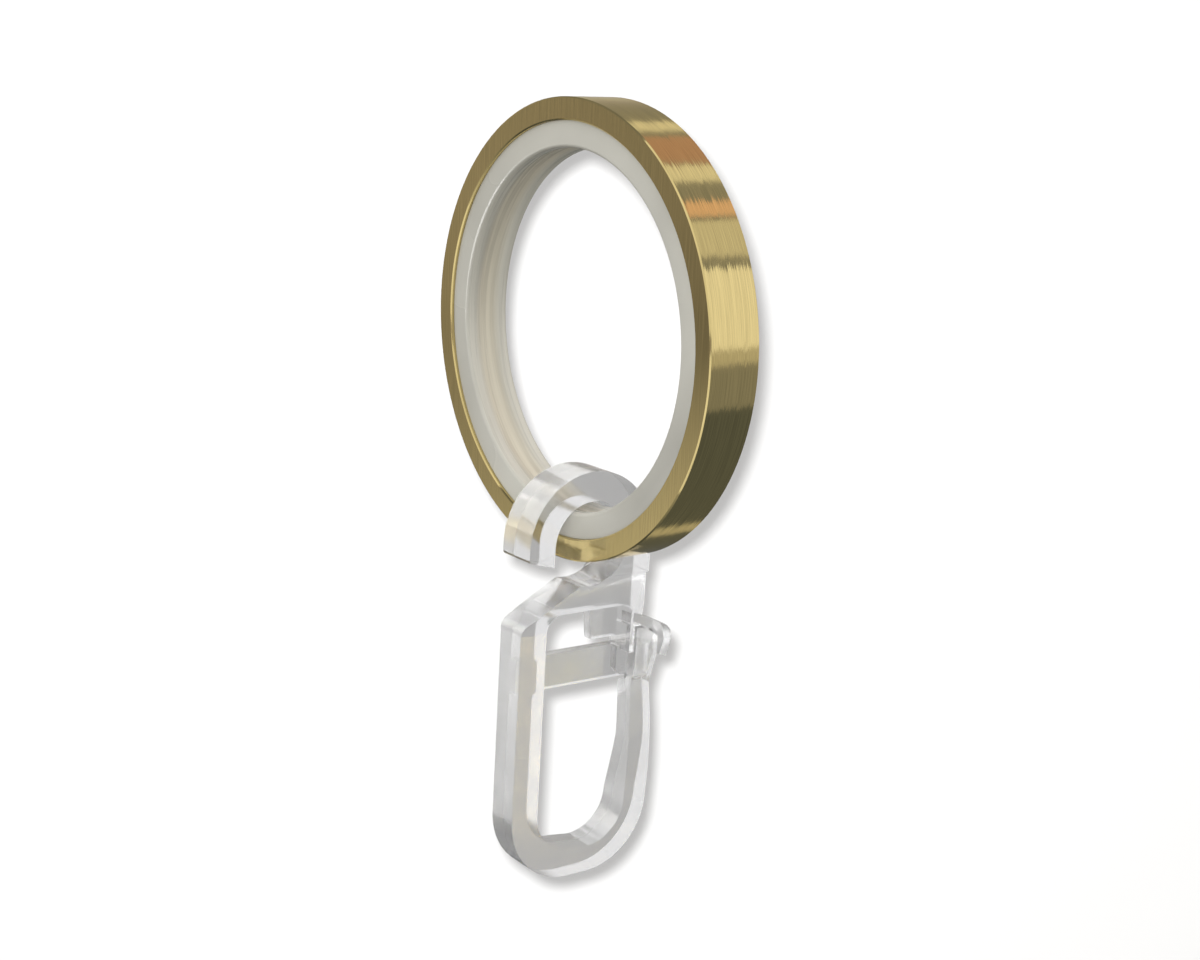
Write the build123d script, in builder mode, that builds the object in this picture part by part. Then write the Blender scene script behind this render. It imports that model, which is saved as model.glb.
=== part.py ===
from build123d import *
import math
import os

# Curtain ring with a clip-on pleat hook, in millimetres.
# The ring's axis is Y and its centre is the origin, +Z is up, and the hook hangs in the YZ plane.

os.makedirs("parts", exist_ok=True)

# Brass ring: a flat band.
ring_outer_radius = 21.5
ring_wall = 2.1
ring_width = 5.5
ring_edge_break = 0.18

# Glide liner: a plastic bush pressed into the ring's bore, set back from both faces.
liner_wall = 2.45
liner_recess = 0.35
lip_round = 0.5
groove_depth = 0.3
groove_width = 2.6

# Crook: the round clip that hangs over the ring.
crook_inner_radius = 4.25
crook_thickness = 2.9
crook_width = 4.5
crook_tip_inner = 1.8
crook_tip_outer = 1.1
crook_tip_round = 0.45
hang_clearance = 0.25
hang_lean = 1.3
eye_end_angle = 257.0
collar_drop = 3.5

# Body under the crook, with a window through it.
body_width = 4.0
shoulder_slope = 29.0
shoulder_round = 1.1
wall_set_in = 0.12
wall_thickness = 1.3
window_drop = 6.67
window_height = 4.85
window_left_round = 1.5
window_right_round = 1.1
taper_height = 1.8

# Fixed leg and the bend at the foot of the loop.
leg_width = 3.4
leg_face = 7.37
leg_thickness = 3.0
loop_height = 16.1
bend_radius = 7.0

# Sprung arm that rises from the bend and tucks into the catch.
arm_offset = 0.47
arm_thickness = 2.7
arm_bow = 0.15
arm_waist = 2.25
arm_taper_height = 6.0
arm_tip_thickness = 2.7
arm_tip_bevel = 1.1
arm_tip_flat = 1.0

# Catch: a cross bar, a stop block on it, a thin socket wall, a hood over the arm's tip and a tongue.
catch_gap = 0.25
bar_height = 3.5
bar_thickness = 1.0
bar_overhang = 0.4
block_thickness = 0.9
block_height = 3.05
block_lead = 0.4
block_chamfer = 0.7
socket_wall = 0.55
pocket_drop = 2.5
hood_thickness = 0.95
hood_width = 2.3
hood_rise = 1.6
hood_reach = 3.8
hood_pitch = 27.8
hood_length = 2.55
hood_tuck = 18.0
hood_round = 1.3
tongue_thickness = 1.15
tongue_length = 3.6
tongue_height = 3.95
tongue_draft = 0.5

# How far one feature of the moulding runs into the next, so that they join.
join = 0.3

# Ring and liner sizes that follow from the ones above.
bore_radius = ring_outer_radius - ring_wall
glide_radius = bore_radius - liner_wall
liner_half = ring_width / 2 - liner_recess

# The crook's eye stands clear of the liner's two rounded lips, and its centre is the hook's pivot.
rim_height = math.sqrt(glide_radius**2 - (crook_width / 2) ** 2)
lip_reach = crook_inner_radius - hang_clearance - lip_round
pivot_z = -(rim_height + lip_round + math.sqrt(lip_reach**2 - (liner_half - lip_round) ** 2))

# Places on the hook's profile: u runs across, v runs up, both from the pivot.
crook_outer_radius = crook_inner_radius + crook_thickness
eye_end_u = crook_inner_radius * math.cos(math.radians(eye_end_angle))
eye_end_v = crook_inner_radius * math.sin(math.radians(eye_end_angle))
shoulder_v = eye_end_v - (leg_face + eye_end_u) * math.tan(math.radians(shoulder_slope))
leg_inner = -leg_face + leg_thickness
wall_face = crook_outer_radius - wall_set_in
window_right = wall_face - wall_thickness
window_top = -window_drop
bar_top = window_top - window_height
bar_bottom = bar_top - bar_height
foot = bar_bottom - loop_height - leg_thickness
bend_v = foot + bend_radius
left_bend_u = -leg_face + bend_radius
arm_inner = window_right + arm_offset
arm_face = arm_inner + arm_thickness
right_bend_u = arm_face - bend_radius
arm_middle = (bend_v + bar_bottom) / 2
waist_face = arm_inner + arm_waist
waist_v = bar_bottom - catch_gap
socket_inner = window_right + socket_wall
socket_top = window_top - pocket_drop
tip_inner = socket_inner + catch_gap
tip_face = tip_inner + arm_tip_thickness
tip_top = socket_top - catch_gap
tip_knee = bar_top - arm_tip_bevel
hood_root_v = window_top - hood_rise
hood_corner_u = wall_face + hood_reach
hood_corner_v = hood_root_v - hood_reach * math.tan(math.radians(hood_pitch))
hood_end_u = hood_corner_u - hood_length * math.sin(math.radians(hood_tuck))
hood_end_v = hood_corner_v - hood_length * math.cos(math.radians(hood_tuck))

# Depths through the hook, from its far side to its near side.
leg_half = leg_width / 2
bar_near = -leg_half + bar_thickness
block_near = bar_near + block_thickness
arm_far = bar_near + catch_gap
arm_tip_far = block_near + catch_gap

# Planes of the hook, leaning the way it hangs: its profile seen along X, and its front seen along u.
lean = math.radians(hang_lean)
across = (0, math.cos(lean), -math.sin(lean))
profile_plane = Plane(origin=(0, 0, pivot_z), x_dir=across, z_dir=(1, 0, 0))
front_plane = Plane(origin=(0, 0, pivot_z), x_dir=(-1, 0, 0), z_dir=across)
far_plane = profile_plane.offset(-leg_half)

# The brass ring is turned from one section, with its edges broken.
with BuildPart() as ring:
    with BuildSketch(Plane.XY) as ring_section:
        with Locations((bore_radius + ring_wall / 2, 0)):
            Rectangle(ring_wall, ring_width)
        chamfer(ring_section.vertices(), ring_edge_break)
    revolve(axis=Axis.Y)
ring.part.label = "brass_ring"
export_step(ring.part, "parts/brass_ring.step")

# The liner has two rounded lips with a shallow hollow between them.
with BuildPart() as liner:
    with BuildSketch(Plane.XY) as liner_section:
        with BuildLine():
            Polyline(
                (glide_radius, groove_width / 2),
                (glide_radius, liner_half),
                (bore_radius, liner_half),
                (bore_radius, -liner_half),
                (glide_radius, -liner_half),
                (glide_radius, -groove_width / 2),
            )
            ThreePointArc(
                (glide_radius, -groove_width / 2),
                (glide_radius + groove_depth, 0),
                (glide_radius, groove_width / 2),
            )
        make_face()
        for side in (-1, 1):
            lip = liner_section.vertices().sort_by_distance((glide_radius, side * liner_half))[0]
            fillet(lip, lip_round)
    revolve(axis=Axis.Y)
liner.part.label = "glide_liner"
export_step(liner.part, "parts/glide_liner.step")

# The hook is one moulding. Its strip runs from the crook's tip over the ring, down the body and the
# fixed leg, round the bend and up the sprung arm into the catch.
with BuildPart() as hook:
    with BuildSketch(profile_plane) as profile:
        with BuildLine():
            # Crook, from the inside of its tip round the eye.
            Line((-crook_inner_radius, -crook_tip_inner), (-crook_inner_radius, 0))
            CenterArc((0, 0), crook_inner_radius, 180, eye_end_angle - 540)
            # Shoulder, outside of the fixed leg, and the bend.
            Polyline((eye_end_u, eye_end_v), (-leg_face, shoulder_v), (-leg_face, bend_v))
            CenterArc((left_bend_u, bend_v), bend_radius, 180, 90)
            Line((left_bend_u, foot), (right_bend_u, foot))
            CenterArc((right_bend_u, bend_v), bend_radius, 270, 90)
            # Sprung arm: its bowed outside, its waist, its tip and its bowed inside.
            ThreePointArc((arm_face, bend_v), (arm_face + arm_bow, arm_middle), (waist_face, waist_v))
            Polyline(
                (waist_face, waist_v),
                (tip_face, tip_knee),
                (tip_face, tip_top - arm_tip_bevel),
                (tip_inner + arm_tip_flat, tip_top),
                (tip_inner, tip_top),
                (tip_inner, tip_knee),
                (arm_inner, waist_v),
            )
            ThreePointArc((arm_inner, waist_v), (arm_inner + arm_bow, arm_middle), (arm_inner, bend_v))
            # Inside of the bend.
            CenterArc((right_bend_u, bend_v), bend_radius - arm_thickness, 0, -90)
            Line((right_bend_u, foot + arm_thickness), (left_bend_u, foot + leg_thickness))
            CenterArc((left_bend_u, bend_v), bend_radius - leg_thickness, 270, -90)
            # Inside of the fixed leg, window, socket wall, back wall and the outside of the crook.
            Polyline(
                (leg_inner, bend_v),
                (leg_inner, window_top),
                (window_right, window_top),
                (window_right, bar_top - join),
                (socket_inner, bar_top - join),
                (socket_inner, socket_top),
                (wall_face, socket_top),
                (wall_face, -collar_drop),
                (crook_outer_radius, -collar_drop),
                (crook_outer_radius, 0),
            )
            CenterArc((0, 0), crook_outer_radius, 0, 180)
            Polyline(
                (-crook_outer_radius, 0),
                (-crook_outer_radius, -crook_tip_outer),
                (-crook_inner_radius, -crook_tip_inner),
            )
        make_face()
        for corner, radius in (
            ((-leg_face, shoulder_v), shoulder_round),
            ((leg_inner, window_top), window_left_round),
            ((window_right, window_top), window_right_round),
            ((-crook_outer_radius, -crook_tip_outer), crook_tip_round),
        ):
            fillet(profile.vertices().sort_by_distance(corner)[0], radius)
    extrude(amount=crook_width / 2, both=True)

    # Seen from the front, the strip steps in under the crook and tapers to the legs.
    with BuildSketch(front_plane):
        with BuildLine():
            outline = Polyline(
                (0, crook_outer_radius + join),
                (crook_width / 2, crook_outer_radius + join),
                (crook_width / 2, -collar_drop),
                (body_width / 2, -collar_drop),
                (body_width / 2, window_top),
                (leg_half, window_top - taper_height),
                (leg_half, foot - join),
                (0, foot - join),
            )
            mirror(outline, about=Plane.YZ)
        make_face()
    extrude(amount=leg_face + arm_face, both=True, mode=Mode.INTERSECT)

    # The arm narrows from the far side, so that it springs clear of the bar and the block.
    with BuildSketch(front_plane.offset(window_right)):
        with BuildLine():
            Polyline(
                (leg_half, bend_v),
                (-arm_far, bend_v + arm_taper_height),
                (-arm_far, waist_v),
                (-arm_tip_far, bar_bottom + catch_gap),
                (-arm_tip_far, bar_top - 2 * join),
                (crook_width, bar_top - 2 * join),
                (crook_width, bend_v),
                close=True,
            )
        make_face()
    extrude(amount=arm_face, mode=Mode.SUBTRACT)
    with BuildSketch(front_plane.offset(socket_inner + catch_gap / 2)):
        with BuildLine():
            Polyline(
                (-arm_tip_far, bar_top - 3 * join),
                (-arm_tip_far, tip_top + catch_gap / 2),
                (crook_width, tip_top + catch_gap / 2),
                (crook_width, bar_top - 3 * join),
                close=True,
            )
        make_face()
    extrude(amount=arm_face, mode=Mode.SUBTRACT)

    # Cross bar on the far side, from the fixed leg to behind the arm, with its stop block.
    with BuildSketch(far_plane):
        with BuildLine():
            Polyline(
                (leg_inner - join, bar_bottom),
                (arm_face + bar_overhang, bar_bottom),
                (arm_face + bar_overhang, bar_top),
                (leg_inner - join, bar_top),
                close=True,
            )
        make_face()
    extrude(amount=bar_thickness)
    with BuildSketch(far_plane) as block:
        with BuildLine():
            Polyline(
                (window_right - block_lead, bar_top),
                (window_right - block_lead, bar_top - block_height),
                (arm_face, bar_top - block_height),
                (arm_face, bar_top),
                close=True,
            )
        make_face()
        low_corner = block.vertices().sort_by_distance((window_right - block_lead, bar_top - block_height))[0]
        chamfer(low_corner, block_chamfer)
    extrude(amount=bar_thickness + block_thickness)

    # Tongue that closes the far side of the window's corner.
    with BuildSketch(far_plane):
        with BuildLine():
            Polyline(
                (window_right + join, window_top + join),
                (window_right - tongue_length, window_top + join),
                (window_right - tongue_length + tongue_draft, window_top - tongue_height),
                (window_right + join, window_top - tongue_height),
                close=True,
            )
        make_face()
    extrude(amount=tongue_thickness)

    # Hood that springs out of the back wall and folds down over the arm's tip.
    with BuildSketch(profile_plane.offset(leg_half)):
        with BuildLine() as hood_path:
            FilletPolyline(
                (wall_face - wall_thickness / 2, hood_root_v),
                (hood_corner_u, hood_corner_v),
                (hood_end_u, hood_end_v),
                radius=hood_round,
            )
        trace(line_width=hood_thickness)
    extrude(amount=-hood_width)
hook.part.label = "pleat_hook"
export_step(hook.part, "parts/pleat_hook.step")
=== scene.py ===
"""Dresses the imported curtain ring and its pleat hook, and sets up a white studio picture of them."""
import math

import bmesh
import bpy
from bpy.props import FloatProperty, FloatVectorProperty, IntProperty, PointerProperty
from mathutils import Matrix, Vector


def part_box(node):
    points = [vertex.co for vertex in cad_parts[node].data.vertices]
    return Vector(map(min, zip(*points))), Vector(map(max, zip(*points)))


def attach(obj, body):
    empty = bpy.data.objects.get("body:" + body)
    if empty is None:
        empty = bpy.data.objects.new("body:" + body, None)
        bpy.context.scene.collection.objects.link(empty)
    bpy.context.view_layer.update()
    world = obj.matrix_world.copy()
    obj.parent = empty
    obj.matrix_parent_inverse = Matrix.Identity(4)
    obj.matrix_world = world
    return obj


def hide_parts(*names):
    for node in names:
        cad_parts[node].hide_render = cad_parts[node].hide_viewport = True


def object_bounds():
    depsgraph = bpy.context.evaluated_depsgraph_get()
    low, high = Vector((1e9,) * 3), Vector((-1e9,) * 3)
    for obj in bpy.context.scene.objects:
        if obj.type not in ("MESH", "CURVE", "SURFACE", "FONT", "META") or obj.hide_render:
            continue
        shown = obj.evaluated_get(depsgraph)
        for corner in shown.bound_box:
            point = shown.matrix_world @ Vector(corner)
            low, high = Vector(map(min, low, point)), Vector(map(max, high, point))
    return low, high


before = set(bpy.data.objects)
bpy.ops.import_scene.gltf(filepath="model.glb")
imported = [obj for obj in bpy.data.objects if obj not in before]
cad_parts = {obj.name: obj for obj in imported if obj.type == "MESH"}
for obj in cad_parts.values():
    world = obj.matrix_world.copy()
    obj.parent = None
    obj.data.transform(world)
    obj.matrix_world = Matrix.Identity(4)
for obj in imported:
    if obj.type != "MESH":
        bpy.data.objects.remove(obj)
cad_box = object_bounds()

bl_info = {
    "name": "Curtain Ring With Hook",
    "version": (1, 0, 0),
    "blender": (4, 5, 0),
    "location": "3D View > Sidebar > Curtain Ring",
    "description": "Brass curtain ring with a milky glide liner and a clear pleat hook, in a white studio",
    "category": "Object",
}

MM = 0.001
RING_LOW, RING_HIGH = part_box("brass_ring")
_, LINER_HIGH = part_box("glide_liner")

# Points closer than this are one point: along the seam of a turned ring, and in the hook's loose triangles.
SEAM_GAP = 0.001 * MM
FACET_GAP = 0.002 * MM

# Angles in degrees. An edge that turns more than its piece's angle is drawn sharp.
BAND_SHARP = 5
LINER_SHARP = 30
HOOK_SHARP = 20
# Facets of the hook that turn less than the first angle are one flat face. Edges that turn more than the
# second are softened.
HOOK_FLAT = 0.5
HOOK_CREASE = 25
# A face of the band belongs to its flat ends if its normal lies this much along the axis.
END_FACE = 0.99

# The camera, in the frame of the object: where it stands, and its right, up and back directions.
CAMERA_PLACE = Vector((136.196, -99.990, 25.690)) * MM
CAMERA_RIGHT = Vector((0.59324, 0.80417, 0.03710))
CAMERA_UP = Vector((-0.20692, 0.10779, 0.97240))
CAMERA_BACK = Vector((0.77798, -0.58455, 0.23034))
CAMERA_TURN = Matrix((CAMERA_RIGHT, CAMERA_UP, CAMERA_BACK)).transposed().to_4x4()

# The paper's lamp, by the camera: its strength, its radius, and how far it stands to the left and above.
PAPER_LAMP_STRENGTH = 32.5
PAPER_LAMP_RADIUS = 1.0 * MM
PAPER_LAMP_LEFT = 1.05 * MM
PAPER_LAMP_UP = 1.5 * MM

# Each soft card has a name, its angle in degrees round the ring's axis and along it, half its width and
# half its height as angles, and a colour. Round the axis, 0 is to the side, 90 overhead and -90 below.
SOFT_CARDS = (
    ("side_card", 15.9, 40, 19.4, 24, "#faf8f2"),
    ("low_side_card", -7, 40, 3.6, 24, "#c4c1b7"),
    ("low_side_step", -21.6, 40, 11, 24, "#8d8d8c"),
    ("high_side_card", 50.2, 40, 9.5, 24, "#d8d5cc"),
    ("warm_strip", 65.9, 40, 4.2, 24, "#ecc6b2"),
    ("top_strip", 86.7, 40, 5.5, 24, "#ece9e0"),
    ("warm_card", 103, 40, 10, 24, "#bf9c92"),
    ("far_strip", 122, 40, 4.8, 24, "#e6e3da"),
    ("floor_strip", -110.7, 40, 4.5, 24, "#b9b6aa"),
    # A card in front draws a line of light along the lower broken edges.
    ("front_low_card", -45, -48, 35, 18, "#fbf9f3"),
)
# Cards that show in gloss alone: one draws a line of light along the upper broken edges, the other is a
# strip behind.
GLOSS_CARDS = (
    ("front_top_card", 62, -46, 46, 24, "#f8f5ec"),
    ("back_strip", 165.5, 40, 9, 24, "#b4b1a6"),
)
# A gleam is a card that shines on one piece alone. After a card's values come its distance, as a share of
# the cards' distance, and its strength.
HOOK_GLEAMS = (
    # Softboxes at the left.
    ("left_softbox", 173.5, -12, 36.5, 28, "#ffffff", 1.0, 2.5),
    ("left_lamp", 162, -30, 16, 11, "#fffdf6", 0.9, 4.0),
    ("high_left_lamp", 147, -12, 7, 11, "#ffffff", 0.9, 3.0),
    ("top_left_lamp", 150, 22, 12, 15, "#ffffff", 0.9, 1.8),
    ("low_left_lamp", 194, -34, 16, 9, "#ffffff", 0.9, 1.6),
    # Small lamps at the right: two warm ones shine on the bar and the leg, a white one on the catch.
    ("bar_lamp", -30.2, 29.8, 1.3, 3.4, "#ffee80", 0.9, 6.0),
    ("leg_lamp", -34.6, 29.0, 0.9, 1.9, "#ffe59c", 0.9, 14.0),
    ("catch_lamp", -29, 36.2, 1.3, 1.3, "#ffffff", 0.9, 16.0),
)
LINER_GLEAMS = (
    # A lamp in front draws a line of light on the lip.
    ("lip_lamp", -125, -58, 38, 13, "#ffffff", 0.8, 7.0),
)


def paint(code):
    """Turns an sRGB hex colour into linear red, green, blue and alpha."""
    channels = [int(code[i : i + 2], 16) / 255 for i in (1, 3, 5)]
    return (*[c / 12.92 if c <= 0.04045 else ((c + 0.055) / 1.055) ** 2.4 for c in channels], 1.0)


def add_node(tree, kind, settings=None, values=None, links=None):
    """Adds one node with its settings, its socket values and the links that feed it."""
    made = tree.nodes.new(kind)
    for name, value in (settings or {}).items():
        setattr(made, name, value)
    for socket, value in (values or {}).items():
        made.inputs[socket].default_value = value
    for socket, source in (links or {}).items():
        tree.links.new(source, made.inputs[socket])
    return made


def ramp(tree, source, stops):
    """Colours along a value. Each stop is a value and a colour or a plain grey tone."""
    first, last = stops[0][0], stops[-1][0]
    place = add_node(
        tree,
        "ShaderNodeMapRange",
        values={"From Min": first, "From Max": last},
        links={"Value": source},
    )
    made = add_node(tree, "ShaderNodeValToRGB", links={"Fac": place.outputs["Result"]})
    elements = made.color_ramp.elements
    for _ in stops[2:]:
        elements.new(1.0)
    for element, (value, tone) in zip(elements, stops):
        element.position = (value - first) / (last - first)
        element.color = tone if isinstance(tone, tuple) else (tone, tone, tone, 1)
    return made.outputs["Color"]


def combed_noise(tree, place, scale, detail, roughness):
    """Noise drawn out into strokes. The scale counts strokes per metre along the piece's X, Y and Z."""
    combed = add_node(
        tree,
        "ShaderNodeMapping",
        values={"Scale": scale},
        links={"Vector": place.outputs["Object"]},
    )
    noise = add_node(
        tree,
        "ShaderNodeTexNoise",
        values={"Scale": 1.0, "Detail": detail, "Roughness": roughness},
        links={"Vector": combed.outputs["Vector"]},
    )
    return noise.outputs["Fac"]


def overlay(tree, base, *layers):
    """Lays shaders over a base, one after another. Each layer is its share and its shader."""
    for share, top in layers:
        base = add_node(
            tree,
            "ShaderNodeMixShader",
            links={0: share, 1: base.outputs[0], 2: top.outputs[0]},
        )
    return base


def new_material(name):
    """An empty material and its node tree."""
    material = bpy.data.materials.new(name)
    material.use_nodes = True
    material.node_tree.nodes.clear()
    return material, material.node_tree


def new_object(name, bm, *materials):
    """Makes an object at the origin from a finished bmesh."""
    mesh = bpy.data.meshes.new(name)
    bm.to_mesh(mesh)
    bm.free()
    for material in materials:
        mesh.materials.append(material)
    made = bpy.data.objects.new(name, mesh)
    bpy.context.scene.collection.objects.link(made)
    return made


def new_group(name):
    """A collection of the objects that some lamps shine on alone."""
    group = bpy.data.collections.new(name)
    bpy.context.scene.collection.children.link(group)
    return group


def shade(bm, sharp_degrees):
    """Smooth faces, with the edges that turn more than the given angle kept sharp."""
    for face in bm.faces:
        face.smooth = True
    for edge in bm.edges:
        edge.smooth = edge.calc_face_angle(math.pi) < math.radians(sharp_degrees)


def soften(bm, corners, affect, width, segments):
    """Bevels the given corners or edges."""
    bmesh.ops.bevel(
        bm,
        geom=corners,
        offset=width,
        offset_type="OFFSET",
        affect=affect,
        segments=segments,
        profile=0.5,
        material=-1,
        clamp_overlap=True,
    )


def spin_section(bm, steps):
    """Turns a closed section in the XY plane round the Y axis into a ring."""
    bmesh.ops.delete(bm, geom=bm.faces[:], context="FACES_ONLY")
    bmesh.ops.spin(
        bm,
        geom=bm.verts[:] + bm.edges[:],
        cent=(0, 0, 0),
        axis=(0, 1, 0),
        angle=2 * math.pi,
        steps=steps,
        use_merge=True,
    )
    bmesh.ops.remove_doubles(bm, verts=bm.verts[:], dist=SEAM_GAP)
    bmesh.ops.recalc_face_normals(bm, faces=bm.faces[:])
    # The spin leaves its faces in no set order. Sorted by place, they come out the same in each run.
    by_place = sorted(bm.faces, key=lambda face: [round(c / SEAM_GAP) for c in face.calc_center_median()])
    for index, face in enumerate(by_place):
        face.index = index
    bm.faces.sort()


class RingSizes(bpy.types.PropertyGroup):
    """Sizes and colour of the brass band"""

    outer_radius: FloatProperty(
        name="Outer radius",
        description="Outside of the brass band",
        default=RING_HIGH.x,
        unit="LENGTH",
    )
    wall: FloatProperty(
        name="Wall",
        description="Thickness of the brass band",
        default=RING_HIGH.x - LINER_HIGH.x,
        unit="LENGTH",
    )
    width: FloatProperty(
        name="Width",
        description="Width of the brass band along its axis",
        default=RING_HIGH.y - RING_LOW.y,
        unit="LENGTH",
    )
    edge_break: FloatProperty(
        name="Edge break",
        description="Width of the flat that breaks each edge of the band",
        default=0.12 * MM,
        unit="LENGTH",
    )
    steps: IntProperty(
        name="Steps",
        description="Facets round the ring and its liner",
        default=288,
        min=48,
    )
    brass: FloatVectorProperty(
        name="Brass",
        description="Colour that the lacquered brass reflects",
        default=paint("#ead699"),
        subtype="COLOR",
        size=4,
    )


class LinerSizes(bpy.types.PropertyGroup):
    """Sizes and colours of the milky liner"""

    glide_radius: FloatProperty(
        name="Glide radius",
        description="Inside of the liner, which runs on the rod",
        default=16.95 * MM,
        unit="LENGTH",
    )
    fit_gap: FloatProperty(
        name="Fit gap",
        description="Air between the liner and the band, too thin to see",
        default=0.02 * MM,
        unit="LENGTH",
    )
    lip_round: FloatProperty(
        name="Lip round",
        description="Radius of the two lips",
        default=0.35 * MM,
        unit="LENGTH",
    )
    groove_width: FloatProperty(
        name="Groove width",
        description="Width of the shallow hollow between the lips",
        default=2.6 * MM,
        unit="LENGTH",
    )
    groove_depth: FloatProperty(
        name="Groove depth",
        description="Depth of the shallow hollow between the lips",
        default=0.3 * MM,
        unit="LENGTH",
    )
    milk: FloatVectorProperty(
        name="Milky plastic",
        description="Colour of the natural, undyed liner",
        default=paint("#d4d2c7"),
        subtype="COLOR",
        size=4,
    )
    # The groove's colour is painted: a tint that stands in for the brass seen through the thin wall.
    painted_show_through_tint: FloatVectorProperty(
        name="Groove tint",
        description="Colour in the groove, where the brass behind shows through the thin wall",
        default=paint("#d8d2c0"),
        subtype="COLOR",
        size=4,
    )


class HookSizes(bpy.types.PropertyGroup):
    """Size and colour of what the scene adds to the hook"""

    edge_round: FloatProperty(
        name="Edge round",
        description="Radius that the mould leaves on the hook's edges",
        default=0.1 * MM,
        unit="LENGTH",
    )
    clear: FloatVectorProperty(
        name="Clear plastic",
        description="Faint tint of the clear moulding",
        default=paint("#f1f1f2"),
        subtype="COLOR",
        size=4,
    )


class StudioSettings(bpy.types.PropertyGroup):
    """Camera, paper and cards of the studio"""

    lens: FloatProperty(
        name="Lens",
        description="Focal length of the camera on a 36 mm sensor",
        default=54.51,
        unit="CAMERA",
    )
    backdrop_distance: FloatProperty(
        name="Backdrop distance",
        description="From the ring's centre back to the white backdrop",
        default=400 * MM,
        unit="LENGTH",
    )
    backdrop_reach: FloatProperty(
        name="Backdrop reach",
        description="From the middle of the backdrop to its sides",
        default=230 * MM,
        unit="LENGTH",
    )
    floor_drop: FloatProperty(
        name="Floor drop",
        description="From the foot of the hook down to the floor",
        default=300 * MM,
        unit="LENGTH",
    )
    floor_reach: FloatProperty(
        name="Floor reach",
        description="From the middle of the floor to its sides",
        default=600 * MM,
        unit="LENGTH",
    )
    floor_glow: FloatProperty(
        name="Floor glow",
        description="Light that the floor gives off by itself",
        default=0.3,
    )
    paper: FloatVectorProperty(
        name="Paper",
        description="Colour of the backdrop and the floor before their lamp shines on them",
        default=paint("#d3d3d3"),
        subtype="COLOR",
        size=4,
    )
    card_distance: FloatProperty(
        name="Card distance",
        description="From the ring's centre to the soft cards round it",
        default=400 * MM,
        unit="LENGTH",
    )


def brushed_brass(name, colour, stroke, blur, depth):
    """Brass, brushed and lacquered. The brush leaves fine scratches along its stroke, so lights smear
    across them and the edges of reflections fray along them. With no stroke given, the brush goes
    round the band."""
    material, tree = new_material(name)
    place = add_node(tree, "ShaderNodeTexCoord")
    surface = add_node(tree, "ShaderNodeNewGeometry")
    round_the_band = stroke is None
    # Scratches are about 0.04 mm apart and 6 mm long. They are drawn 0.08 mm apart, so that they show.
    scratches = (0.08 * MM, 6 * MM, 3.0, 0.6)
    # Broader strokes among them are 0.7 mm apart and 15 mm long.
    streaks = (0.7 * MM, 15 * MM, 2.0, 0.5)
    combed = []
    for pitch, length, detail, roughness in (scratches, streaks):
        fine, long = 1 / pitch, 1 / length
        scale = (long, fine, long) if round_the_band else (fine, 0, long)
        combed.append(combed_noise(tree, place, scale, detail, roughness))
    scratch, streak = combed
    if round_the_band:
        circling = add_node(
            tree,
            "ShaderNodeVectorMath",
            {"operation": "CROSS_PRODUCT"},
            values={0: (0, 1, 0)},
            links={1: place.outputs["Object"]},
        )
        along = add_node(
            tree,
            "ShaderNodeVectorMath",
            {"operation": "NORMALIZE"},
            links={0: circling.outputs["Vector"]},
        )
    else:
        along = add_node(tree, "ShaderNodeCombineXYZ", values=dict(zip("XYZ", stroke)))
    across = add_node(tree, "ShaderNodeCombineXYZ", values=dict(zip("XYZ", blur)))
    # Each scratch tips the surface along the stroke, by up to a degree or two.
    tip = add_node(
        tree,
        "ShaderNodeMapRange",
        values={"From Min": 0.0, "From Max": 1.0, "To Min": -depth, "To Max": depth},
        links={"Value": scratch},
    )
    lean = add_node(
        tree,
        "ShaderNodeVectorMath",
        {"operation": "SCALE"},
        links={"Vector": along.outputs["Vector"], "Scale": tip.outputs["Result"]},
    )
    tipped = add_node(
        tree,
        "ShaderNodeVectorMath",
        {"operation": "ADD"},
        links={0: surface.outputs["Normal"], 1: lean.outputs["Vector"]},
    )
    normal = add_node(
        tree,
        "ShaderNodeVectorMath",
        {"operation": "NORMALIZE"},
        links={0: tipped.outputs["Vector"]},
    )
    # The bottoms of the scratches are duller.
    dull = (*[0.74 * channel for channel in colour[:3]], 1.0)
    tone = ramp(tree, scratch, ((0.3, dull), (0.62, colour)))
    rough = add_node(
        tree,
        "ShaderNodeMapRange",
        values={"From Min": 0.3, "From Max": 0.7, "To Min": 0.08, "To Max": 0.13},
        links={"Value": streak},
    )
    # Seen along its skin, the brass stays golden.
    golden = paint("#fff7e2")
    shader = add_node(
        tree,
        "ShaderNodeBsdfPrincipled",
        values={"Metallic": 1.0, "Anisotropic": 0.8, "Specular Tint": golden},
        links={
            "Base Color": tone,
            "Roughness": rough.outputs["Result"],
            "Normal": normal.outputs["Vector"],
            "Tangent": across.outputs["Vector"],
        },
    )
    add_node(tree, "ShaderNodeOutputMaterial", links={"Surface": shader.outputs["BSDF"]})
    return material


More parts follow.
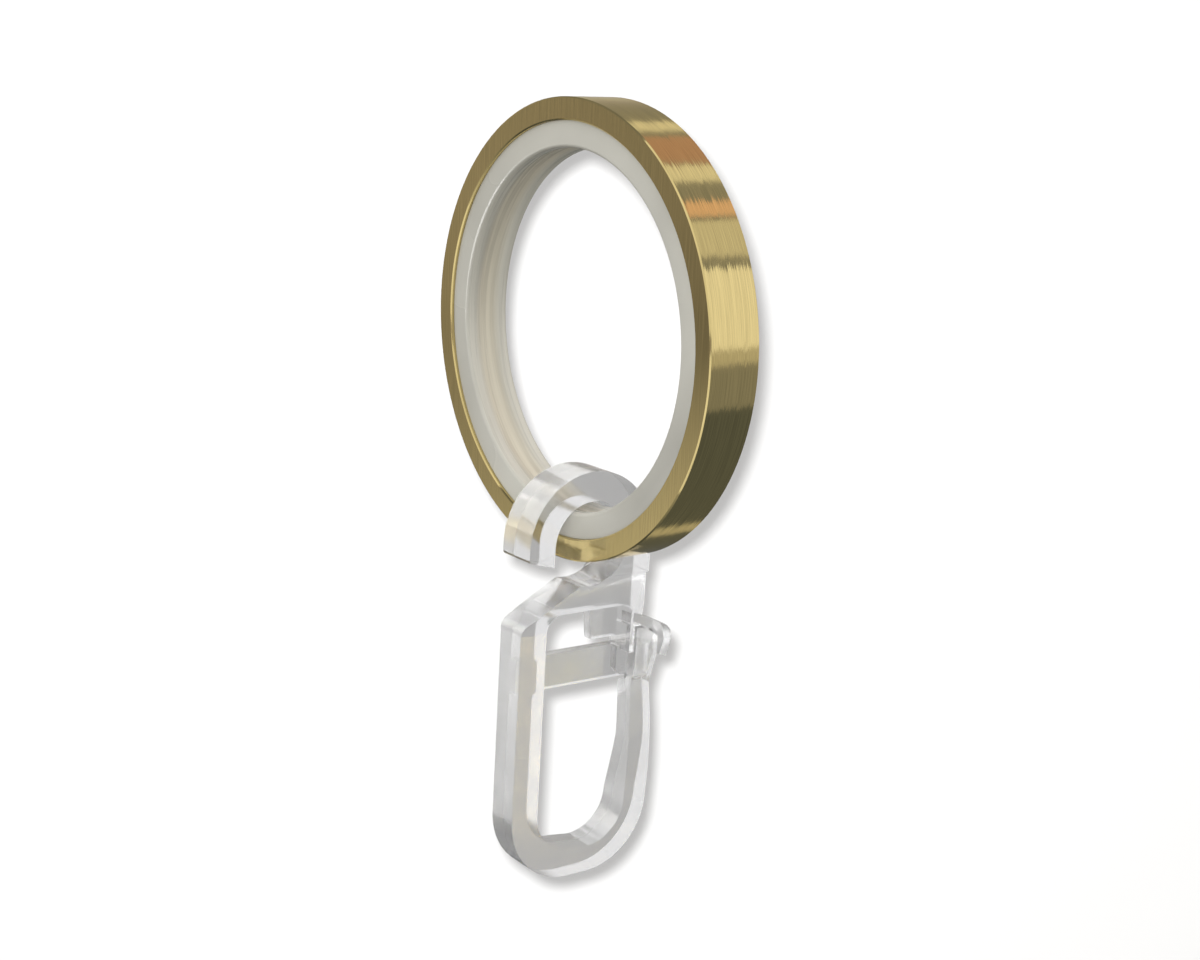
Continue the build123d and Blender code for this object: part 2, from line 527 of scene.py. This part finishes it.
def milky_plastic(colour, groove):
    """Natural polyamide, moulded and undyed. Milky, with flow lines round the bore. In the groove, where
    the wall is thinnest, a painted warm tint stands in for the brass that would show through it."""
    material, tree = new_material("milky_polyamide")
    place = add_node(tree, "ShaderNodeTexCoord")
    # Flow lines 0.5 mm apart across the bore, and 20 mm long round it.
    fine, long = 1 / (0.5 * MM), 1 / (20 * MM)
    flow = combed_noise(tree, place, (long, fine, long), detail=3.0, roughness=0.5)
    lines = add_node(
        tree,
        "ShaderNodeMapRange",
        values={"From Min": 0.35, "From Max": 0.65, "To Min": 0.86, "To Max": 1.06},
        links={"Value": flow},
    )
    # Across the bore, from the front lip to the back lip.
    part = add_node(tree, "ShaderNodeSeparateXYZ", links={"Vector": place.outputs["Object"]})
    # Between the lips the colour turns to the painted tint that stands in for the brass seen through the
    # wall.
    stops = ((-1.4 * MM, colour), (-0.6 * MM, groove), (0.7 * MM, groove), (1.4 * MM, colour))
    tone = ramp(tree, part.outputs["Y"], stops)
    # Painted shade: the milk grows darker toward one side, low down at +X, along this direction.
    painted_shade_side = (0.766, 0, -0.643)
    toward_painted_shade = add_node(
        tree,
        "ShaderNodeVectorMath",
        {"operation": "DOT_PRODUCT"},
        values={1: painted_shade_side},
        links={0: place.outputs["Object"]},
    )
    # Painted shade: full tone at 14 mm along that side, dimmed to 0.7 at 18.3 mm.
    stops = ((14 * MM, 1.0), (17.2 * MM, 0.78), (18.3 * MM, 0.7))
    thin = ramp(tree, toward_painted_shade.outputs["Value"], stops)
    # Both dim the tone: the flow lines, and the painted shade held in thin.
    for dimming in (lines.outputs["Result"], thin):
        dimmed = add_node(
            tree,
            "ShaderNodeVectorMath",
            {"operation": "SCALE"},
            links={"Vector": tone, "Scale": dimming},
        )
        tone = dimmed.outputs["Vector"]
    rough = add_node(
        tree,
        "ShaderNodeMapRange",
        values={"From Min": 0.3, "From Max": 0.7, "To Min": 0.22, "To Max": 0.34},
        links={"Value": flow},
    )
    shader = add_node(
        tree,
        "ShaderNodeBsdfPrincipled",
        values={"IOR": 1.53},
        links={"Base Color": tone, "Roughness": rough.outputs["Result"]},
    )
    add_node(tree, "ShaderNodeOutputMaterial", links={"Surface": shader.outputs["BSDF"]})
    return material


def clear_plastic(colour):
    """Clear acrylic, injection moulded. Glassy, with a faint haze and with flow marks that the mould left
    in its skin."""
    material, tree = new_material("clear_acrylic")
    place = add_node(tree, "ShaderNodeTexCoord")
    # Flow marks about 2.5 mm apart.
    flow = add_node(
        tree,
        "ShaderNodeTexNoise",
        values={"Scale": 1 / (2.5 * MM), "Detail": 1.0},
        links={"Vector": place.outputs["Object"]},
    )
    skin = add_node(
        tree,
        "ShaderNodeBump",
        values={"Strength": 0.15, "Distance": 0.03 * MM},
        links={"Height": flow.outputs["Fac"]},
    )
    rough = add_node(
        tree,
        "ShaderNodeMapRange",
        values={"From Min": 0.3, "From Max": 0.7, "To Min": 0.12, "To Max": 0.2},
        links={"Value": flow.outputs["Fac"]},
    )
    shader = add_node(
        tree,
        "ShaderNodeBsdfPrincipled",
        values={"Base Color": colour, "IOR": 1.49, "Transmission Weight": 0.95},
        links={"Roughness": rough.outputs["Result"], "Normal": skin.outputs["Normal"]},
    )
    add_node(tree, "ShaderNodeOutputMaterial", links={"Surface": shader.outputs["BSDF"]})
    return material


class CURTAINRING_OT_make_ring(bpy.types.Operator):
    """Make the brushed brass band"""

    bl_idname = "curtain_ring.make_ring"
    bl_label = "Make brass ring"

    def execute(self, context):
        sizes = context.scene.curtain_ring_band
        outer = sizes.outer_radius
        inner = outer - sizes.wall
        half = sizes.width / 2
        bm = bmesh.new()
        corners = ((inner, -half), (outer, -half), (outer, half), (inner, half))
        section = bm.faces.new([bm.verts.new((x, y, 0)) for x, y in corners])
        soften(bm, list(section.verts), "VERTICES", sizes.edge_break, segments=1)
        spin_section(bm, sizes.steps)
        shade(bm, BAND_SHARP)
        # The flat ends are brushed upright, and the rest round the band.
        for face in bm.faces:
            face.material_index = 1 if abs(face.normal.y) > END_FACE else 0
        brass = tuple(sizes.brass)
        band = brushed_brass("brass_brushed_round", brass, stroke=None, blur=(0, 1, 0), depth=0.065)
        ends = brushed_brass("brass_brushed_upright", brass, stroke=(0, 0, 1), blur=(1, 0, 0), depth=0.02)
        piece = new_object("brass_band", bm, band, ends)
        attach(piece, "ring")
        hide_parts("brass_ring")
        return {"FINISHED"}


class CURTAINRING_OT_make_liner(bpy.types.Operator):
    """Make the milky glide liner"""

    bl_idname = "curtain_ring.make_liner"
    bl_label = "Make glide liner"

    def execute(self, context):
        sizes = context.scene.curtain_ring_liner
        outer = LINER_HIGH.x - sizes.fit_gap
        half = LINER_HIGH.y
        # The groove is an arc in section, and its width and depth give the arc's radius.
        mouth = sizes.groove_width / 2
        hollow = (mouth**2 + sizes.groove_depth**2) / (2 * sizes.groove_depth)
        bm = bmesh.new()
        start = bm.verts.new((sizes.glide_radius, -mouth, 0))
        bmesh.ops.spin(
            bm,
            geom=[start],
            cent=(sizes.glide_radius + sizes.groove_depth - hollow, 0, 0),
            axis=(0, 0, 1),
            angle=2 * math.asin(mouth / hollow),
            steps=12,
        )
        end = max(bm.verts, key=lambda v: v.co.y)
        lips = [bm.verts.new((sizes.glide_radius, y, 0)) for y in (half, -half)]
        backs = [bm.verts.new((outer, y, 0)) for y in (half, -half)]
        chain = [end, lips[0], backs[0], backs[1], lips[1], start]
        for one, two in zip(chain, chain[1:]):
            bm.edges.new((one, two))
        bmesh.ops.contextual_create(bm, geom=bm.edges[:])
        soften(bm, lips, "VERTICES", sizes.lip_round, segments=8)
        spin_section(bm, context.scene.curtain_ring_band.steps)
        shade(bm, LINER_SHARP)
        plastic = milky_plastic(tuple(sizes.milk), tuple(sizes.painted_show_through_tint))
        piece = new_object("milky_liner", bm, plastic)
        bpy.data.collections["milky_parts"].objects.link(piece)
        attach(piece, "ring")
        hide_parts("glide_liner")
        return {"FINISHED"}


class CURTAINRING_OT_make_hook(bpy.types.Operator):
    """Make the clear hook from the moulding's own shape, with its edges softened"""

    bl_idname = "curtain_ring.make_hook"
    bl_label = "Make pleat hook"

    def execute(self, context):
        sizes = context.scene.curtain_ring_hook
        bm = bmesh.new()
        bm.from_mesh(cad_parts["pleat_hook"].data)
        bmesh.ops.remove_doubles(bm, verts=bm.verts[:], dist=FACET_GAP)
        bmesh.ops.dissolve_limit(
            bm,
            angle_limit=math.radians(HOOK_FLAT),
            verts=bm.verts[:],
            edges=bm.edges[:],
        )
        crease = math.radians(HOOK_CREASE)
        sharp = [edge for edge in bm.edges if edge.calc_face_angle(0) > crease]
        soften(bm, sharp, "EDGES", sizes.edge_round, segments=2)
        shade(bm, HOOK_SHARP)
        piece = new_object("clear_hook", bm, clear_plastic(tuple(sizes.clear)))
        bpy.data.collections["clear_parts"].objects.link(piece)
        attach(piece, "hook")
        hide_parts("pleat_hook")
        return {"FINISHED"}


def studio_camera(focal_length):
    """The camera at the photograph's angle."""
    lens = bpy.data.cameras.new("studio_camera")
    lens.lens = focal_length
    lens.sensor_width = 36
    lens.clip_start = 1 * MM
    camera = bpy.data.objects.new("studio_camera", lens)
    camera.matrix_world = Matrix.Translation(CAMERA_PLACE) @ CAMERA_TURN
    bpy.context.scene.collection.objects.link(camera)
    return camera


def studio_room():
    """The room's own light: white to the camera, and something else to each kind of surface. The ramps
    go by the direction of the look, from -1 to 1, and the tones are linear light."""
    room = bpy.data.worlds.new("studio_room")
    room.use_nodes = True
    tree = room.node_tree
    tree.nodes.clear()
    way = add_node(tree, "ShaderNodeTexCoord").outputs["Generated"]
    part = add_node(tree, "ShaderNodeSeparateXYZ", links={"Vector": way})

    # Metal shows a grey room, darker below and in front, with a pale table.
    cool = (0.111, 0.122, 0.130, 1)
    warm = (0.56, 0.52, 0.49, 1)
    walls = ramp(tree, part.outputs["Z"], ((-0.42, cool), (-0.08, warm), (0.44, 0.30)))
    stops = ((-0.85, 0.9), (-0.65, 0.33), (-0.615, 0.52), (-0.5, 0.64), (0.3, 1.0))
    depth = ramp(tree, part.outputs["Y"], stops)
    grey = add_node(tree, "ShaderNodeBackground", links={"Color": walls, "Strength": depth})
    low = ramp(tree, part.outputs["Z"], ((-0.28, 1.0), (-0.16, 0.0)))
    near = ramp(tree, part.outputs["Y"], ((-0.62, 1.0), (-0.54, 0.5), (-0.3, 0.0)))
    on_table = add_node(tree, "ShaderNodeMath", {"operation": "MULTIPLY"}, links={0: low, 1: near})
    table = add_node(tree, "ShaderNodeBackground", values={"Color": (0.68, 0.66, 0.61, 1)})
    metal = overlay(tree, grey, (on_table.outputs["Value"], table))

    # Clear plastic shows a grey wall straight behind it, a dark floor, and white paper to the sides.
    straight_behind = (-0.765, 0.56, -0.31)
    beside = add_node(
        tree,
        "ShaderNodeVectorMath",
        {"operation": "DOT_PRODUCT"},
        values={1: straight_behind},
        links={0: way},
    )
    behind = ramp(tree, beside.outputs["Value"], ((0.83, 0.0), (0.97, 1.0)))
    below = ramp(tree, part.outputs["Z"], ((-0.7, 1.0), (-0.5, 0.0)))
    sides = ramp(tree, part.outputs["X"], ((-0.2, 0.98), (0.7, 0.5)))
    sheet = add_node(tree, "ShaderNodeBackground", links={"Color": sides})
    wall = add_node(tree, "ShaderNodeBackground", values={"Color": (0.50, 0.497, 0.49, 1)})
    ground = add_node(tree, "ShaderNodeBackground", values={"Color": (0.24, 0.24, 0.23, 1)})
    glass = overlay(tree, sheet, (behind, wall), (below, ground))

    # Dull surfaces are lit from above.
    height = ramp(tree, part.outputs["Z"], ((-0.857, 0.01), (1.0, 0.93)))
    sky = add_node(tree, "ShaderNodeBackground", links={"Color": height}, values={"Strength": 1.63})

    white = add_node(tree, "ShaderNodeBackground", values={"Color": (1, 1, 1, 1)})
    path = add_node(tree, "ShaderNodeLightPath").outputs
    seen = overlay(
        tree,
        metal,
        (path["Is Diffuse Ray"], sky),
        (path["Is Transmission Ray"], glass),
        (path["Is Camera Ray"], white),
    )
    add_node(tree, "ShaderNodeOutputWorld", links={"Surface": seen.outputs[0]})
    return room


def soft_card(name, turn, lean, half_turn, half_lean, colour, distance, strength=1.0, receivers=None):
    """A lit card that only the object sees. It stands the given angles round the ring's axis and along it.
    With receivers, it shines on them alone and lets all else see past it."""
    turn, lean = math.radians(turn), math.radians(lean)
    toward = Vector((math.cos(turn) * math.cos(lean), math.sin(lean), math.sin(turn) * math.cos(lean)))
    side = Vector((-math.sin(turn), 0, math.cos(turn)))
    rise = toward.cross(side)
    wide = side * distance * math.tan(math.radians(half_turn)) * math.cos(lean)
    tall = rise * distance * math.tan(math.radians(half_lean))
    axes = Matrix((wide, tall, toward)).transposed().to_4x4()
    place = Matrix.Translation(toward * distance) @ axes
    bm = bmesh.new()
    bmesh.ops.create_grid(bm, x_segments=1, y_segments=1, size=1, matrix=place)
    material, tree = new_material(name)
    light = add_node(tree, "ShaderNodeEmission", values={"Color": paint(colour), "Strength": strength})
    if receivers is not None:
        past = add_node(tree, "ShaderNodeBsdfTransparent")
        light = add_node(tree, "ShaderNodeAddShader", links={0: light.outputs[0], 1: past.outputs[0]})
    add_node(tree, "ShaderNodeOutputMaterial", links={"Surface": light.outputs[0]})
    card = new_object(name, bm, material)
    card.visible_camera = False
    card.visible_shadow = False
    if receivers is not None:
        card.light_linking.receiver_collection = receivers
    return card


def show_in_gloss(card):
    """Shows a card in gloss alone. It neither lights dull surfaces nor shows through clear ones."""
    card.visible_diffuse = False
    card.visible_transmission = False


def hang_cards(distance):
    """Hangs the soft cards and the gleams round the object."""
    for card in SOFT_CARDS:
        soft_card(*card, distance)
    for card in GLOSS_CARDS:
        show_in_gloss(soft_card(*card, distance))
    for group, gleams in (("clear_parts", HOOK_GLEAMS), ("milky_parts", LINER_GLEAMS)):
        receivers = new_group(group)
        for *card, share, strength in gleams:
            show_in_gloss(soft_card(*card, share * distance, strength, receivers))


def white_paper(name, colour, glow):
    """Plain white paper, uncoated. It is dull all over and keeps the object's shadow, and it isn't seen
    from behind."""
    material, tree = new_material(name)
    paper = add_node(tree, "ShaderNodeBsdfDiffuse", values={"Color": colour})
    light = add_node(tree, "ShaderNodeEmission", values={"Strength": glow})
    front = add_node(tree, "ShaderNodeAddShader", links={0: paper.outputs[0], 1: light.outputs[0]})
    side = add_node(tree, "ShaderNodeNewGeometry")
    back = add_node(tree, "ShaderNodeBsdfTransparent")
    sheet = overlay(tree, front, (side.outputs["Backfacing"], back))
    add_node(tree, "ShaderNodeOutputMaterial", links={"Surface": sheet.outputs[0]})
    return material


def hang_paper(studio):
    """Hangs the backdrop and lays the floor, which only the camera sees."""
    group = new_group("paper")
    behind = Matrix.Translation(-CAMERA_BACK * studio.backdrop_distance) @ CAMERA_TURN
    level = Matrix.Translation((0, 0, cad_box[0].z - studio.floor_drop))
    sheets = (
        ("backdrop", behind, studio.backdrop_reach, 0.0),
        ("floor", level, studio.floor_reach, studio.floor_glow),
    )
    for name, place, reach, glow in sheets:
        bm = bmesh.new()
        bmesh.ops.create_grid(bm, x_segments=1, y_segments=1, size=reach, matrix=place)
        sheet = new_object(name, bm, white_paper(name + "_paper", tuple(studio.paper), glow))
        group.objects.link(sheet)
        sheet.visible_diffuse = False
        sheet.visible_glossy = False
        sheet.visible_transmission = False
        sheet.visible_shadow = False
    return group


def light_paper(paper):
    """A small lamp beside the camera, which shines on the paper alone and as brightly far off as near."""
    bulb = bpy.data.lights.new("backdrop_lamp", "POINT")
    bulb.shadow_soft_size = PAPER_LAMP_RADIUS
    bulb.energy = 1.0
    bulb.use_nodes = True
    tree = bulb.node_tree
    tree.nodes.clear()
    even = add_node(tree, "ShaderNodeLightFalloff", values={"Strength": PAPER_LAMP_STRENGTH})
    glow = add_node(tree, "ShaderNodeEmission", links={"Strength": even.outputs["Constant"]})
    add_node(tree, "ShaderNodeOutputLight", links={"Surface": glow.outputs["Emission"]})
    lamp = bpy.data.objects.new("backdrop_lamp", bulb)
    lamp.location = CAMERA_PLACE - CAMERA_RIGHT * PAPER_LAMP_LEFT + CAMERA_UP * PAPER_LAMP_UP
    lamp.visible_camera = False
    lamp.light_linking.receiver_collection = paper
    bpy.context.scene.collection.objects.link(lamp)


class CURTAINRING_OT_make_studio(bpy.types.Operator):
    """Set up the white backdrop, the floor, the soft cards and the camera"""

    bl_idname = "curtain_ring.make_studio"
    bl_label = "Make studio"

    def execute(self, context):
        scene = context.scene
        studio = scene.curtain_ring_studio
        scene.view_settings.view_transform = "Standard"
        scene.camera = studio_camera(studio.lens)
        scene.world = studio_room()
        # Light is handed on many times inside the clear hook before it leaves it.
        scene.cycles.max_bounces = 24
        scene.cycles.glossy_bounces = 16
        scene.cycles.transmission_bounces = 24
        hang_cards(studio.card_distance)
        light_paper(hang_paper(studio))
        return {"FINISHED"}


class CURTAINRING_PT_panel(bpy.types.Panel):
    """Lists the sizes, the colours and the steps of the build"""

    bl_idname = "CURTAINRING_PT_panel"
    bl_label = "Curtain ring"
    bl_space_type = "VIEW_3D"
    bl_region_type = "UI"
    bl_category = "Curtain Ring"

    def draw(self, context):
        for group, _, operator in BUILD_ORDER:
            box = self.layout.box()
            settings = getattr(context.scene, group)
            for name in settings.bl_rna.properties.keys():
                if name not in ("rna_type", "name"):
                    box.prop(settings, name)
            box.operator(operator.bl_idname)


# The studio comes first, because it makes the groups that the liner and the hook join.
BUILD_ORDER = (
    ("curtain_ring_studio", StudioSettings, CURTAINRING_OT_make_studio),
    ("curtain_ring_band", RingSizes, CURTAINRING_OT_make_ring),
    ("curtain_ring_liner", LinerSizes, CURTAINRING_OT_make_liner),
    ("curtain_ring_hook", HookSizes, CURTAINRING_OT_make_hook),
)


def register():
    for group, settings, operator in BUILD_ORDER:
        bpy.utils.register_class(settings)
        setattr(bpy.types.Scene, group, PointerProperty(type=settings))
        bpy.utils.register_class(operator)
    bpy.utils.register_class(CURTAINRING_PT_panel)


def unregister():
    bpy.utils.unregister_class(CURTAINRING_PT_panel)
    for group, settings, operator in reversed(BUILD_ORDER):
        bpy.utils.unregister_class(operator)
        delattr(bpy.types.Scene, group)
        bpy.utils.unregister_class(settings)


def main():
    register()
    bpy.ops.curtain_ring.make_studio()
    bpy.ops.curtain_ring.make_ring()
    bpy.ops.curtain_ring.make_liner()
    bpy.ops.curtain_ring.make_hook()


if __name__ == "__main__":
    main()
